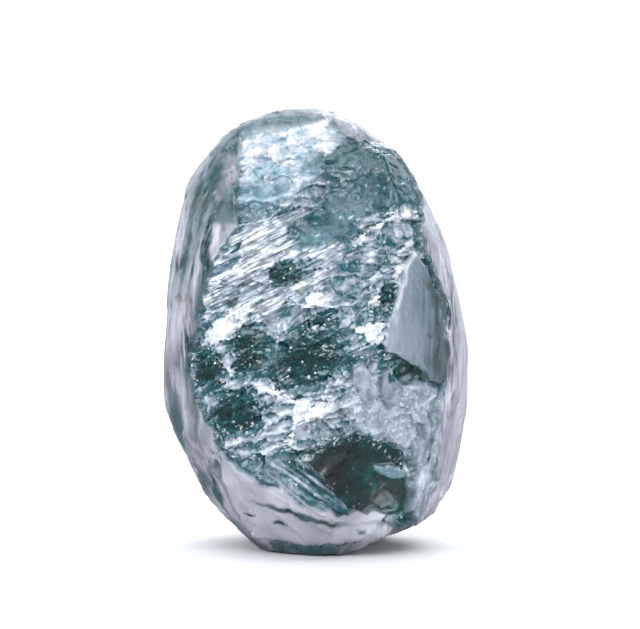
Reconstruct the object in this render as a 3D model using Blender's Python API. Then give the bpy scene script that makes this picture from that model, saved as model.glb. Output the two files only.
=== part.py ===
"""A rough blue-green diamond: one natural crystal, standing on a small flat spot.

The crystal is a stretched, rounded body of natural faces whose front has broken away. Its surface
is worked out along rays from its middle: each ray runs to the nearest natural face, stops short
at a flat break, and is then dug back by the chips, plates, ledges and ribs that it meets.
Sizes are millimetres until the mesh is written, and metres from there on. +Z is up, -Y is the
front, and the origin is under the middle of the crystal, on the surface that it stands on.
Places on the crystal are measured from its middle.
"""

import math

import bmesh
import bpy
import numpy as np
from mathutils import Vector, noise

MM = 0.001

# The size of the whole crystal.
WIDTH = 5.58
DEPTH = 5.05
HEIGHT = 8.0

# How crisply the natural faces meet: a higher number gives sharper edges.
EDGE_CRISPNESS = 50

# The crystal is shaped as a fine ball, which is then thinned to about this many triangles.
BALL_SUBDIVISIONS = 7
TRIANGLES = 9700

# The flat spot that it stands on is cut this far above the lowest point of the rounded body,
# which makes it wide enough for a stone this tall to stand by itself.
FOOT_CUT = 0.29

COLOUR = (0.10, 0.26, 0.28, 1.0)
ROUGHNESS = 0.22
DIAMOND_IOR = 2.417

# Natural faces, as (azimuth, elevation, distance from the middle). Azimuth 0 is the front and 90
# is the right, as seen from the front; elevation is up from the horizontal.
NATURAL_FACES = [
    # front
    (-7, 1, 2.44),
    (2, 50, 3.55),
    (-20, 66, 3.88),
    (-35, -45, 3.52),
    (10, -50, 3.90),
    (34, -50, 3.88),
    # left flank, from the shoulder down
    (-52, 36, 3.30),
    (-70, 11, 2.74),
    (-64, -2, 2.66),
    (-66, -15, 2.86),
    (-62, -33, 3.06),
    # left outline
    (-96, 68, 3.95),
    (-94, 38, 3.42),
    (-98, 11, 2.76),
    (-93, 3, 2.66),
    (-97, -12, 2.93),
    (-90, -28, 2.94),
    (-92, -50, 3.34),
    (-90, -73, 3.70),
    # right flank
    (64, 22, 2.88),
    (70, 3, 2.72),
    (66, -14, 2.86),
    (62, -34, 3.48),
    # right outline
    (86, 60, 3.58),
    (94, 32, 2.98),
    (90, 15, 2.72),
    (96, 0, 2.80),
    (93, -12, 3.04),
    (88, -35, 3.62),
    (84, -70, 3.62),
    # back
    (176, 4, 2.44),
    (-150, 30, 2.92),
    (-134, -4, 2.58),
    (-150, -38, 3.54),
    (142, 24, 2.80),
    (128, -10, 2.66),
    (152, -42, 3.66),
    (180, 62, 3.74),
    (180, -64, 4.00),
    # ends
    (20, 88, 3.98),
    (0, -90, 3.99),
]

# Flat breaks, as (azimuth, elevation, distance from the middle).
CLEAVAGES = [
    (43, -10, 2.60),
    (49, 12, 2.68),
    (10, 20, 2.70),
    (-20, 40, 3.22),
    (-168, 36, 3.05),
]

# Flat flakes struck off the edges, as (azimuth, elevation, thickness).
FLAKES = [
    (-120, 32, 0.14),
    (-108, -40, 0.16),
    (-140, -64, 0.20),
    (-160, 8, 0.12),
    (160, -22, 0.16),
    (118, 42, 0.16),
    (112, -44, 0.18),
    (150, 66, 0.16),
    (156, 4, 0.12),
]

# How flat a chip's floor is: 1 is an even bowl, and more is flatter, with a steeper wall.
CHIP_FLATNESS = 1.5

# Dished chips, as (azimuth, elevation, width, height, turn, depth): the direction of the middle
# of the chip, the size of its mouth, how far its long side is turned up to the right, in degrees,
# and how deep it is.
CHIPS = [
    # the large window low on the right of the front, and the nick over it
    (23, -47, 1.85, 1.50, -12, 0.36),
    (31, -35, 0.80, 0.36, -20, 0.16),
    # the long window at the top right, and the curved dish under it
    (20, 50, 1.90, 1.00, -8, 0.16),
    (31, 37, 1.50, 0.60, 22, 0.15),
    # hollows among the broken plates
    (-13, 22, 0.62, 0.50, 20, 0.20),
    (-38, -15, 0.62, 0.85, 30, 0.20),
    (-6, -12, 1.30, 0.85, 24, 0.26),
    (-30, -28, 0.90, 0.72, 14, 0.26),
    (8, 8, 0.75, 0.38, 20, 0.14),
    (27, 13, 0.42, 0.62, 18, 0.16),
    (39, -9, 0.80, 0.34, -35, 0.12),
    # shallow breaks across the edges of the sides and the back
    (-140, 20, 1.60, 0.80, 35, 0.15),
    (-112, -34, 1.70, 0.75, -35, 0.14),
    (150, -32, 2.10, 1.00, 28, 0.19),
    (118, 22, 1.30, 0.70, -40, 0.12),
    (178, 44, 1.70, 0.90, 12, 0.16),
]

# The left and right borders and the lower border of the broken front, as seen from the front:
# (height, side) along the two ridges, and (side, height) along the lower one.
LEFT_RIDGE = [
    (-3.9, -1.0),
    (-2.6, -1.45),
    (-2.1, -1.75),
    (-1.3, -2.15),
    (-0.1, -2.2),
    (0.5, -2.0),
    (1.5, -1.7),
    (1.9, -1.4),
    (3.6, -1.4),
]
RIGHT_RIDGE = [(-3.5, 1.8), (-2.8, 2.1), (-1.3, 2.25), (0.5, 2.3), (1.2, 2.05), (2.5, 1.9), (3.9, 1.2)]
LOWER_RIDGE = [(-1.9, -2.0), (-1.0, -2.6), (0.5, -3.35), (1.3, -3.4), (2.2, -3.5)]
RIDGE_SOFTNESS = 0.10

# How far in front of the crystal's middle the broken front ends, at its top.
BROKEN_REACH = 0.75

# An oval patch of ground fades from whole to nothing between these shares of its half size.
PATCH_WHOLE = 0.75
PATCH_END = 1.15

# Smooth ground in the broken front, as (side, height, half width, half height).
SMOOTH_GROUND = [
    (1.85, 0.25, 0.50, 1.25),
    (1.05, 2.75, 1.10, 0.65),
    (0.10, 1.92, 0.45, 0.45),
    (1.00, -2.65, 0.95, 0.80),
    (1.55, -1.35, 0.75, 0.75),
]

# Hackly ground on the back, as (side, height, half width, half height).
BACK_BREAK = (-0.15, -0.55, 1.35, 0.80)

# The hackly break is made of small dished plates, longest along a slope that rises to the right.
PLATE_TURN = 27
PLATE_LENGTH = 0.95
PLATE_WIDTH = 0.38
PLATE_DEPTH = 0.20
PLATE_TILT = 0.55
PLATE_DISH = 0.9

# Parallel ledges under the broken plates, which fall to the right, and where they are.
LEDGE_TURN = -36
LEDGE_SPACING = 0.30
LEDGE_DROP = 0.3
LEDGE_DEPTH = 0.09
LEDGE_WANDER = 0.05
LEDGE_WANDER_SIZE = 0.6
LEDGE_GROUND = (-0.15, -2.80, 0.85, 0.55)

# Upright ribs on the flanks and the back. They wander sideways a little, come and go over a
# greater distance, and end before the crystal's own ends.
RIB_SPACING = 0.42
RIB_DEPTH = 0.035
RIB_WANDER = 0.25
RIB_WANDER_SIZE = 0.9
RIB_PATCH_SIZE = 1.8
RIB_WHOLE_HEIGHT = 2.0
RIB_END_HEIGHT = 3.4

# Low lumps all over, as (size, height).
LUMPS = [(1.6, 0.045), (0.7, 0.022)]


def direction(azimuth, elevation):
    """The unit vector that points this way, both angles in degrees."""
    a, e = math.radians(azimuth), math.radians(elevation)
    return np.array([math.cos(e) * math.sin(a), -math.cos(e) * math.cos(a), math.sin(e)])


def smooth_step(low, high, value):
    t = np.clip((value - low) / (high - low), 0, 1)
    return t * t * (3 - 2 * t)


def natural_radius(rays):
    """How far each ray runs to the rounded body that the natural faces enclose."""
    total = np.zeros(len(rays))
    for azimuth, elevation, distance in NATURAL_FACES:
        reach = np.clip(rays @ direction(azimuth, elevation), 0, None) / distance
        total += reach**EDGE_CRISPNESS
    return total ** (-1 / EDGE_CRISPNESS)


def flat_cut(rays, radius, out, distance):
    """Stops each ray at the flat surface that faces this way, this far from the middle."""
    reach = rays @ out
    limit = distance / np.maximum(reach, 1e-6)
    return np.where(reach > 0, np.minimum(radius, limit), radius)


def struck_radius(rays):
    """How far each ray runs once the flat breaks and flakes are gone."""
    natural = natural_radius(rays)
    radius = natural
    for azimuth, elevation, distance in CLEAVAGES:
        radius = flat_cut(rays, radius, direction(azimuth, elevation), distance)
    for azimuth, elevation, thickness in FLAKES:
        out = direction(azimuth, elevation)
        radius = flat_cut(rays, radius, out, np.max(natural * (rays @ out)) - thickness)
    return radius


def noise_at(points, size, seed=0.0):
    """Smooth noise from about -1 to 1, with lumps of this size."""
    offset = Vector((seed, 2.3 * seed, -1.7 * seed))
    return np.array([noise.noise(Vector(p) / size + offset) for p in points])


def ground(points, middle_x, middle_z, half_width, half_height, facing=-1):
    """1 in the middle of an oval patch of the front, or of the back, and 0 outside it."""
    out = np.hypot((points[:, 0] - middle_x) / half_width, (points[:, 2] - middle_z) / half_height)
    return smooth_step(PATCH_END, PATCH_WHOLE, out) * (points[:, 1] * facing > 0)


def broken_share(points):
    """1 in the broken front, and 0 on the natural skin."""
    x, y, z = points.T
    left = np.interp(z, *np.array(LEFT_RIDGE).T)
    right = np.interp(z, *np.array(RIGHT_RIDGE).T)
    low = np.interp(x, *np.array(LOWER_RIDGE).T)
    borders = [x - left, right - x, z - low, -BROKEN_REACH - y]
    front = smooth_step(-RIDGE_SOFTNESS, RIDGE_SOFTNESS, np.min(borders, axis=0))
    return np.maximum(front, ground(points, *BACK_BREAK, facing=1))


def smooth_share(points):
    """1 where the break is smooth, and 0 where it is hackly."""
    return np.max([ground(points, *patch) for patch in SMOOTH_GROUND], axis=0)


def chip_depth(rays, points):
    """How deep the dished chips go under each point."""
    depth = np.zeros(len(points))
    for azimuth, elevation, width, height, turn, deepest in CHIPS:
        out = direction(azimuth, elevation)
        middle = points[np.argmax(rays @ out)]
        right = np.cross((0, 0, 1), out)
        right /= np.linalg.norm(right)
        up = np.cross(out, right)
        t = math.radians(turn)
        away = points - middle
        u = away @ (right * math.cos(t) + up * math.sin(t)) / (width / 2)
        v = away @ (up * math.cos(t) - right * math.sin(t)) / (height / 2)
        dish = deepest * (1 - (u * u + v * v) ** CHIP_FLATNESS)
        depth = np.maximum(depth, np.where(points @ out > 0, dish, 0))
    return depth


def turned(points, turn):
    """Distances along and across a slope that rises to the right by this angle."""
    t = math.radians(turn)
    along = points[:, 0] * math.cos(t) + points[:, 2] * math.sin(t)
    across = points[:, 2] * math.cos(t) - points[:, 0] * math.sin(t)
    return along, across


def dish_here(place):
    """The deepest of the nearest plates' dishes here. Each has its own level and its own tilt."""
    deepest = 0
    for distance, middle in zip(*noise.voronoi(place)):
        random = noise.cell_vector(middle * 7.3)
        away = place - middle
        dish = abs(random.x) - PLATE_DISH * distance * distance
        deepest = max(deepest, dish + PLATE_TILT * (random.y * away.x + random.z * away.z))
    return deepest


def plate_depth(points):
    """How deep the plates are broken away under each point."""
    along, across = turned(points, PLATE_TURN)
    across_size = across / PLATE_WIDTH
    places = np.stack([along / PLATE_LENGTH, points[:, 1] / PLATE_LENGTH, across_size], axis=1)
    return PLATE_DEPTH * np.array([dish_here(Vector(place)) for place in places])


def ledge_depth(points):
    """Steps across the ledges' slope: each slants in slowly and comes back out at once."""
    wander = LEDGE_WANDER * noise_at(points, LEDGE_WANDER_SIZE, seed=4)
    step = (turned(points, LEDGE_TURN)[1] + wander) / LEDGE_SPACING
    share = step - np.floor(step)
    return LEDGE_DEPTH * np.minimum(share / (1 - LEDGE_DROP), (1 - share) / LEDGE_DROP)


def rib_depth(points):
    """Upright ribs round the flanks, which fade in and out along their length."""
    x, y, z = points.T
    round_the_body = np.arctan2(x, -y) * (WIDTH + DEPTH) / 4
    wander = RIB_WANDER * noise_at(points * (1, 1, 0.3), RIB_WANDER_SIZE, seed=9)
    wave = np.sin(2 * math.pi * (round_the_body + wander) / RIB_SPACING)
    strength = smooth_step(-0.3, 0.5, noise_at(points, RIB_PATCH_SIZE, seed=12))
    upright = smooth_step(RIB_END_HEIGHT, RIB_WHOLE_HEIGHT, np.abs(z))
    return RIB_DEPTH * (0.5 + 0.5 * wave) * strength * upright


def shaped_points(rays):
    """The crystal's points in millimetres from its middle, one for each ray."""
    points = rays * struck_radius(rays)[:, None]
    broken = broken_share(points)
    hackly = broken * (1 - smooth_share(points))
    ledges = ground(points, *LEDGE_GROUND)
    depth = plate_depth(points) * hackly * (1 - ledges)
    depth += ledge_depth(points) * ledges
    depth = np.maximum(depth, chip_depth(rays, points))
    depth += rib_depth(points) * (1 - broken)
    for number, (size, height) in enumerate(LUMPS):
        depth += height * noise_at(points, size, seed=20 + number)
    return points - rays * depth[:, None]


def fitted(points):
    """The points scaled to the crystal's size, with the flat spot still to be cut off below 0."""
    low, high = points.min(axis=0), points.max(axis=0)
    size = np.array([WIDTH, DEPTH, HEIGHT + FOOT_CUT])
    points = (points - (low + high) / 2) * (size / (high - low))
    points[:, 2] += (HEIGHT - FOOT_CUT) / 2
    return points


def shaped_mesh():
    """The crystal at its full fineness, before it is thinned."""
    bm = bmesh.new()
    bmesh.ops.create_icosphere(bm, subdivisions=BALL_SUBDIVISIONS, radius=1.0)
    rays = np.array([v.co for v in bm.verts]) * (WIDTH, DEPTH, HEIGHT)
    rays /= np.linalg.norm(rays, axis=1)[:, None]
    for vertex, point in zip(bm.verts, fitted(shaped_points(rays)) * MM):
        vertex.co = point
    mesh = bpy.data.meshes.new("rough_diamond")
    bm.to_mesh(mesh)
    bm.free()
    return mesh


def thinned(crystal):
    """Gives the crystal a mesh with few triangles, most of them where it is most shaped."""
    thin = crystal.modifiers.new("thin", "DECIMATE")
    thin.ratio = TRIANGLES / len(crystal.data.polygons)
    graph = bpy.context.evaluated_depsgraph_get()
    mesh = bpy.data.meshes.new_from_object(crystal.evaluated_get(graph))
    crystal.modifiers.clear()
    crystal.data = mesh


def stood_flat(crystal):
    """Cuts off what lies below the surface that the crystal stands on, and closes the cut."""
    bm = bmesh.new()
    bm.from_mesh(crystal.data)
    everything = bm.verts[:] + bm.edges[:] + bm.faces[:]
    cut = bmesh.ops.bisect_plane(
        bm, geom=everything, dist=1e-7, plane_co=(0, 0, 0), plane_no=(0, 0, 1), clear_inner=True
    )
    rim = [edge for edge in cut["geom_cut"] if isinstance(edge, bmesh.types.BMEdge)]
    bmesh.ops.contextual_create(bm, geom=rim)
    bmesh.ops.recalc_face_normals(bm, faces=bm.faces)
    bmesh.ops.triangulate(bm, faces=[face for face in bm.faces if len(face.verts) > 3])
    bm.to_mesh(crystal.data)
    bm.free()


def blue_green_diamond():
    stone = bpy.data.materials.new("blue_green_diamond")
    stone.use_nodes = True
    shader = stone.node_tree.nodes["Principled BSDF"]
    shader.inputs["Base Color"].default_value = COLOUR
    shader.inputs["Roughness"].default_value = ROUGHNESS
    shader.inputs["Metallic"].default_value = 0.0
    shader.inputs["IOR"].default_value = DIAMOND_IOR
    stone.diffuse_color = COLOUR
    return stone


def main():
    for old in list(bpy.data.objects):
        bpy.data.objects.remove(old)
    collection = bpy.data.collections.new("rough_diamond")
    bpy.context.scene.collection.children.link(collection)
    crystal = bpy.data.objects.new("rough_diamond", shaped_mesh())
    collection.objects.link(crystal)
    thinned(crystal)
    stood_flat(crystal)
    crystal.data.materials.append(blue_green_diamond())


main()
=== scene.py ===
# %% [markdown]
# # A rough blue-green diamond
#
# The real thing is one natural crystal, about eight millimetres tall. Its sides are natural
# faces: satin, finely ribbed and a little stained. Its front has broken away, and shows the
# glassy inside as hackly plates, fine layers, frosted patches and a few dark windows.
#
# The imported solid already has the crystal's size and its main forms. This script takes a copy
# of that solid, makes it fine enough to carry small relief, works the relief and the tones into
# it, and lights it. All sizes are millimetres until they are written to the mesh.

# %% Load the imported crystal
import math

import bmesh
import bpy
import numpy as np
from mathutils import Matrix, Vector, noise
from mathutils.bvhtree import BVHTree


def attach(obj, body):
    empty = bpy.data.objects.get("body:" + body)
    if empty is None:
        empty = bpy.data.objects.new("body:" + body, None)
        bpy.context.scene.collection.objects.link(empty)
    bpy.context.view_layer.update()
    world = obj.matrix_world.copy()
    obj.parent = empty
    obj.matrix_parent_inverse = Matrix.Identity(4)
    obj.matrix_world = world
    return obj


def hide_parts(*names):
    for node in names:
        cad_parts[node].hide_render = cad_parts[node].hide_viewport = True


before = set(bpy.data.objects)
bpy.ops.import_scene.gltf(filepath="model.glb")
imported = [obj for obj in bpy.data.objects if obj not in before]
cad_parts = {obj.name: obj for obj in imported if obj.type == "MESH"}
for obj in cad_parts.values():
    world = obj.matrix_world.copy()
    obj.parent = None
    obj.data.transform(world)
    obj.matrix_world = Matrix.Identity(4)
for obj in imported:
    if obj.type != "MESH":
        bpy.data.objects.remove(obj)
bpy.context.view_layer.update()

MM = 0.001
MIDDLE_HEIGHT = 4.0
packed_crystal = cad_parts["rough_diamond"]
print("packed triangles", len(packed_crystal.data.polygons))

# %% [markdown]
# ## The camera
#
# The stone is photographed almost level, from far away for its size, with a long lens. So the
# camera has a long lens too, and stands three degrees above the level.

# %% Place the camera
LENS = 180
SENSOR = 36
VIEW_WIDTH = 0.01171
VIEW_RISE = math.radians(3)
VIEW_MIDDLE = Vector((0.000068, 0, 0.004229))
NEAREST_SEEN = 0.001
FARTHEST_SEEN = 10

camera_data = bpy.data.cameras.new("camera")
camera_data.lens = LENS
camera_data.sensor_width = SENSOR
camera_data.clip_start = NEAREST_SEEN
camera_data.clip_end = FARTHEST_SEEN
camera = bpy.data.objects.new("camera", camera_data)
bpy.context.scene.collection.objects.link(camera)
towards_camera = Vector((0, -math.cos(VIEW_RISE), math.sin(VIEW_RISE)))
camera.location = VIEW_MIDDLE + towards_camera * VIEW_WIDTH * LENS / SENSOR
camera.rotation_euler = (-towards_camera).to_track_quat("-Z", "Y").to_euler()
bpy.context.scene.camera = camera
print("camera stands", camera.location.length, "m away")

# %% [markdown]
# ## A finer skin for the crystal
#
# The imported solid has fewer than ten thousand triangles, which is too coarse for relief the
# width of a hair. A voxel remesh gives even faces all over, but it rounds the edges off. That
# is put right further on, once the faces are small enough.

# %% Copy the solid and make its faces even
VOXEL = 0.107 * MM
WELD_DISTANCE = 0.002 * MM


def welded_copy(node, name):
    bm = bmesh.new()
    bm.from_mesh(node.data)
    bmesh.ops.remove_doubles(bm, verts=bm.verts, dist=WELD_DISTANCE)
    mesh = bpy.data.meshes.new(name)
    bm.to_mesh(mesh)
    bm.free()
    piece = bpy.data.objects.new(name, mesh)
    bpy.context.scene.collection.objects.link(piece)
    return piece


def remeshed(piece, voxel):
    remesh = piece.modifiers.new("even faces", "REMESH")
    remesh.mode = "VOXEL"
    remesh.voxel_size = voxel
    graph = bpy.context.evaluated_depsgraph_get()
    mesh = bpy.data.meshes.new_from_object(piece.evaluated_get(graph))
    piece.modifiers.clear()
    piece.data = mesh


crystal = welded_copy(packed_crystal, "crystal")
remeshed(crystal, VOXEL)
print("even faces", len(crystal.data.polygons))

# %% [markdown]
# ## Where things are on the stone
#
# Each kind of surface has its own ground: an outline in millimetres from the crystal's middle,
# seen from the front. The share of each ground at a point is one inside the outline and zero
# outside it, and the border between is made ragged by a little noise, because no break in a
# crystal ends on a ruled line.

# %% Outlines of the grounds, as (side, height)
BROKEN = [
    (-1.40, 3.82), (-1.43, 2.32), (-1.38, 1.88), (-1.69, 1.53), (-1.87, 1.11), (-2.02, 0.49),
    (-2.18, -0.06), (-2.22, -0.83), (-2.13, -1.27), (-1.84, -1.71), (-1.73, -2.07), (-1.40, -2.55),
    (-0.99, -2.62), (-0.30, -2.99), (0.53, -3.39), (1.26, -3.39), (1.81, -3.54), (2.12, -2.80),
    (2.23, -1.34), (2.32, -0.79), (2.32, 0.49), (2.04, 1.19), (1.90, 1.68), (1.90, 2.50),
    (1.50, 3.24), (0.53, 3.46), (0.07, 3.88),
]
SMOOTH_FACET = [
    (1.77, 1.41), (1.59, 1.15), (1.42, 0.49), (1.26, 0.20), (1.18, -0.33), (1.44, -0.33),
    (1.75, -0.61), (1.99, -0.83), (2.23, -0.94), (2.32, -0.79), (2.32, 0.49), (2.08, 0.76),
    (1.90, 1.19),
]
SCALLOPED_FROST = [
    (0.65, -0.64), (1.13, -0.52), (1.26, -0.83), (1.53, -0.88), (2.21, -0.94), (2.21, -1.71),
    (1.90, -2.07), (1.53, -2.13), (1.07, -1.85), (0.71, -1.67), (0.40, -1.30), (0.53, -0.83),
]
LOWER_WINDOW = [
    (-0.30, -2.25), (0.16, -1.89), (0.71, -1.80), (1.26, -2.07), (1.53, -2.35), (1.71, -2.62),
    (1.68, -3.26), (1.26, -3.22), (0.53, -3.10), (0.34, -2.80), (-0.12, -2.40),
]
UPPER_WINDOW = [
    (-0.24, 3.24), (0.25, 3.09), (0.53, 3.42), (1.50, 3.20), (1.86, 2.50), (1.86, 2.23),
    (0.98, 2.19), (0.53, 1.68), (-0.30, 1.50), (-0.48, 1.86), (0.07, 2.23), (0.34, 2.69),
    (-0.12, 2.87),
]
FROSTED_SHOULDER = [
    (-1.45, 3.45), (-1.45, 3.95), (0.35, 3.95), (0.45, 3.50), (0.05, 3.24), (-0.21, 2.59),
    (-0.76, 2.23), (-1.30, 2.23), (-1.40, 2.87),
]
LOWER_FACE = [
    (-1.73, -2.07), (-0.99, -2.62), (-0.57, -2.77), (-0.30, -2.99), (0.53, -3.22), (0.66, -3.14),
    (1.28, -3.20), (1.02, -3.62), (0.53, -3.83), (-1.21, -3.72), (-1.54, -3.17), (-1.69, -2.62),
]
LEDGES = [
    (-0.94, -2.20), (-0.30, -2.20), (0.34, -2.80), (0.56, -3.08), (0.53, -3.39), (-0.30, -2.99),
    (-0.85, -2.58),
]
LAYERED_BAND = [
    (-2.04, 0.49), (-1.87, 1.19), (-1.40, 1.86), (-0.30, 2.23), (0.53, 2.41), (0.62, 1.68),
    (-0.12, 0.49), (-1.03, 0.22),
]
TEAL_WEDGE = [(1.31, -0.33), (1.57, -0.42), (2.08, -0.86), (1.75, -0.83), (1.50, -0.75)]
RIBBED_CORNER = [
    (1.72, -2.05), (2.25, -1.20), (2.34, -1.60), (2.30, -2.20), (2.15, -2.90), (1.85, -3.50),
    (1.68, -3.35), (1.72, -2.60),
]

# Small marks on the front, as (side, height, half length, half width, turn in degrees).
# Hollows, sunk in the relief and painted dark in the tones as painted shade.
DARK_HOLLOWS = [
    (-0.57, 1.04, 0.29, 0.20, 20), (-1.91, -0.70, 0.29, 0.33, 30), (-0.21, -0.46, 0.70, 0.40, 20),
    (-1.49, -1.43, 0.44, 0.33, 20), (0.07, 0.20, 0.26, 0.11, 20), (1.26, 0.64, 0.16, 0.27, 20),
    (-1.21, -0.33, 0.37, 0.37, 0), (1.13, -0.42, 0.19, 0.07, 85), (-0.11, 3.84, 0.18, 0.08, 0),
]
# White crests of splinters, raised in the relief; many of them are painted glints and painted highlight
# lines.
WHITE_CRESTS = [
    (-1.76, 0.80, 0.16, 0.11, 25), (-1.62, 0.13, 0.44, 0.17, 32), (-1.72, -0.12, 0.26, 0.08, 15),
    (0.95, -0.02, 0.29, 0.16, -10), (-0.08, 0.58, 0.20, 0.13, 10), (1.53, 1.41, 0.24, 0.07, 30),
    (-1.56, -0.62, 0.42, 0.11, 78), (-0.62, -1.12, 0.46, 0.10, -20), (-0.10, -1.38, 0.30, 0.14, 25),
    (-0.42, -1.62, 0.40, 0.07, 85), (0.66, -1.16, 0.24, 0.07, 40), (1.39, -2.51, 0.31, 0.11, -10),
    (0.14, 3.25, 0.27, 0.11, -5), (1.23, 1.88, 0.68, 0.05, 26), (1.46, 2.12, 0.40, 0.04, 9),
    (-1.53, 1.05, 0.10, 0.07, 20), (1.48, 0.95, 0.25, 0.09, 80), (1.07, 0.09, 0.16, 0.07, 0),
    (1.05, 0.58, 0.32, 0.05, 78), (-1.80, 1.65, 0.34, 0.08, 85),
]
TONGUES = [
    (0.84, -0.83, 0.38, 0.15, -68), (1.31, -0.97, 0.34, 0.14, -80),
]
TEAL_SLOTS = [
    (-0.30, -3.21, 0.80, 0.05, -15), (-1.20, -3.27, 0.10, 0.03, 0), (-0.62, -3.39, 0.12, 0.03, -5),
    (-1.77, -3.00, 0.45, 0.07, -72), (-2.56, 1.20, 0.20, 0.07, 88), (0.80, -3.55, 0.10, 0.03, -15),
]
GROOVED_PLACES = [
    (-1.99, 1.50, 0.40, 0.14, 85), (-2.34, -0.35, 0.45, 0.15, 88), (-2.56, 1.20, 0.20, 0.08, 88),
    (1.95, -2.05, 0.80, 0.20, 80), (2.42, 0.20, 1.70, 0.13, 90),
]

# %% Read the points, and measure how much of each ground is at every point
BORDER = 0.04
RAGGED = 0.07
RAGGED_SIZE = 0.22
FRONT_ENDS = -0.5
FRONT_WHOLE = -1.0
MARK_SOFTNESS = 0.45
SEED_DIRECTION = (1, 2.3, -1.7)


def smooth_step(low, high, value):
    t = np.clip((value - low) / (high - low), 0, 1)
    return t * t * (3 - 2 * t)


def grain(points, size, seed=0.0):
    """Smooth noise from about -1 to 1. size is one number, or one for each axis."""
    scaled = points / np.broadcast_to(size, 3)
    offset = Vector([part * seed for part in SEED_DIRECTION])
    return np.array([noise.noise(Vector(place) + offset) for place in scaled])


def read(mesh, what):
    values = np.empty(len(mesh.vertices) * 3, np.float32)
    mesh.vertices.foreach_get(what, values)
    return values.reshape(-1, 3).astype(float)


def places(mesh):
    """The mesh's points in millimetres, from the crystal's middle."""
    return read(mesh, "co") / MM - (0, 0, MIDDLE_HEIGHT)


def inside_by(side, height, outline):
    """How far each place is inside an outline, and less than zero outside it."""
    distance = np.full(len(side), np.inf)
    inside = np.zeros(len(side), bool)
    for start, end in zip(outline, outline[1:] + outline[:1]):
        run = np.subtract(end, start)
        away_x, away_z = side - start[0], height - start[1]
        along = np.clip((away_x * run[0] + away_z * run[1]) / (run @ run), 0, 1)
        distance = np.minimum(distance, np.hypot(away_x - run[0] * along, away_z - run[1] * along))
        if run[1]:
            crossing = start[0] + run[0] * away_z / run[1]
            inside ^= ((start[1] > height) != (end[1] > height)) & (side < crossing)
    return np.where(inside, distance, -distance)


def front_share(points):
    return smooth_step(FRONT_ENDS, FRONT_WHOLE, points[:, 1])


def ragged_places(points):
    side = points[:, 0] + RAGGED * grain(points, RAGGED_SIZE, seed=1)
    height = points[:, 2] + RAGGED * grain(points, RAGGED_SIZE, seed=2)
    return side, height


def ground_share(points, outline, border=BORDER):
    side, height = ragged_places(points)
    return smooth_step(-border, border, inside_by(side, height, outline)) * front_share(points)


def marks_share(points, marks, softness=MARK_SOFTNESS):
    side, height = ragged_places(points)
    share = np.zeros(len(points))
    for mark_side, mark_height, half_length, half_width, turn in marks:
        t = math.radians(turn)
        x, z = side - mark_side, height - mark_height
        u = (x * math.cos(t) + z * math.sin(t)) / half_length
        v = (z * math.cos(t) - x * math.sin(t)) / half_width
        share = np.maximum(share, smooth_step(1 + softness, 1 - softness, np.hypot(u, v)))
    return share * front_share(points)


# %% [markdown]
# ## Fine faces where the finest relief is
#
# The faces of the front half are divided once, and those of the broken front once more, because
# the finest relief is there. Every point is then moved to the nearest place on the packed
# solid, which brings its edges back, and a little smoothing hides its small triangles.

# %% Divide the front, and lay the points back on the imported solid
SMOOTHING = 3
DIVIDED_BEFORE = -0.2
FINE_BEFORE = -0.55
FINE_BEYOND_OUTLINE = 0.10


def divided(mesh, finest):
    """Divides the faces of the front half, or only those of the broken front."""
    bm = bmesh.new()
    bm.from_mesh(mesh)
    middles = np.array([face.calc_center_median() for face in bm.faces]) / MM
    chosen = middles[:, 1] < DIVIDED_BEFORE
    if finest:
        inside = inside_by(middles[:, 0], middles[:, 2] - MIDDLE_HEIGHT, BROKEN)
        chosen = (inside > -FINE_BEYOND_OUTLINE) & (middles[:, 1] < FINE_BEFORE)
    faces = [face for face, keep in zip(bm.faces, chosen) if keep]
    edges = list({edge for face in faces for edge in face.edges})
    bmesh.ops.subdivide_edges(bm, edges=edges, cuts=1, use_grid_fill=True)
    bmesh.ops.triangulate(bm, faces=[face for face in bm.faces if len(face.verts) > 4])
    bm.to_mesh(mesh)
    bm.free()


def laid_on(mesh, packed_mesh):
    bm = bmesh.new()
    bm.from_mesh(packed_mesh)
    packed_faces = BVHTree.FromBMesh(bm)
    bm.free()
    bm = bmesh.new()
    bm.from_mesh(mesh)
    for vertex in bm.verts:
        vertex.co = packed_faces.find_nearest(vertex.co)[0]
    for _ in range(SMOOTHING):
        bmesh.ops.smooth_vert(
            bm, verts=bm.verts, factor=0.5, use_axis_x=True, use_axis_y=True, use_axis_z=True
        )
    bm.to_mesh(mesh)
    bm.free()
    mesh.shade_smooth()
    mesh.update()


divided(crystal.data, finest=False)
divided(crystal.data, finest=True)
laid_on(crystal.data, packed_crystal.data)
points = places(crystal.data)
outward = read(crystal.data, "normal")
print("points", len(points), "triangles", sum(len(face.vertices) - 2 for face in crystal.data.polygons))

# %% [markdown]
# ## Name the grounds
#
# The grounds overlap a little, so those that matter more are taken out of the others: the
# hackly break is what is left of the broken front once the calm grounds are taken away.

# %% Measure the grounds
SHOULDER_CALM = 0.5
SCALLOP_SPLINTERS = 0.8

broken = ground_share(points, BROKEN)
skin = 1 - broken
smooth_facet = ground_share(points, SMOOTH_FACET, border=0.02)
ribbed = ground_share(points, RIBBED_CORNER, border=0.08)
scalloped = ground_share(points, SCALLOPED_FROST, border=0.08) * (1 - smooth_facet) * (1 - ribbed)
lower_window = ground_share(points, LOWER_WINDOW)
upper_window = ground_share(points, UPPER_WINDOW, border=0.12)
shoulder = ground_share(points, FROSTED_SHOULDER, border=0.25)
lower_face = ground_share(points, LOWER_FACE)
ledges = ground_share(points, LEDGES)
layered = ground_share(points, LAYERED_BAND, border=0.18)
wedge = ground_share(points, TEAL_WEDGE, border=0.02)
hollows = marks_share(points, DARK_HOLLOWS)
smooth_tongues = marks_share(points, TONGUES, softness=0.15)
windows = np.maximum(lower_window, upper_window)
calm = np.max([windows, smooth_facet, scalloped, lower_face, skin, ribbed], axis=0)
hackly = np.clip(broken - calm, 0, 1) * (1 - ledges)
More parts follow.
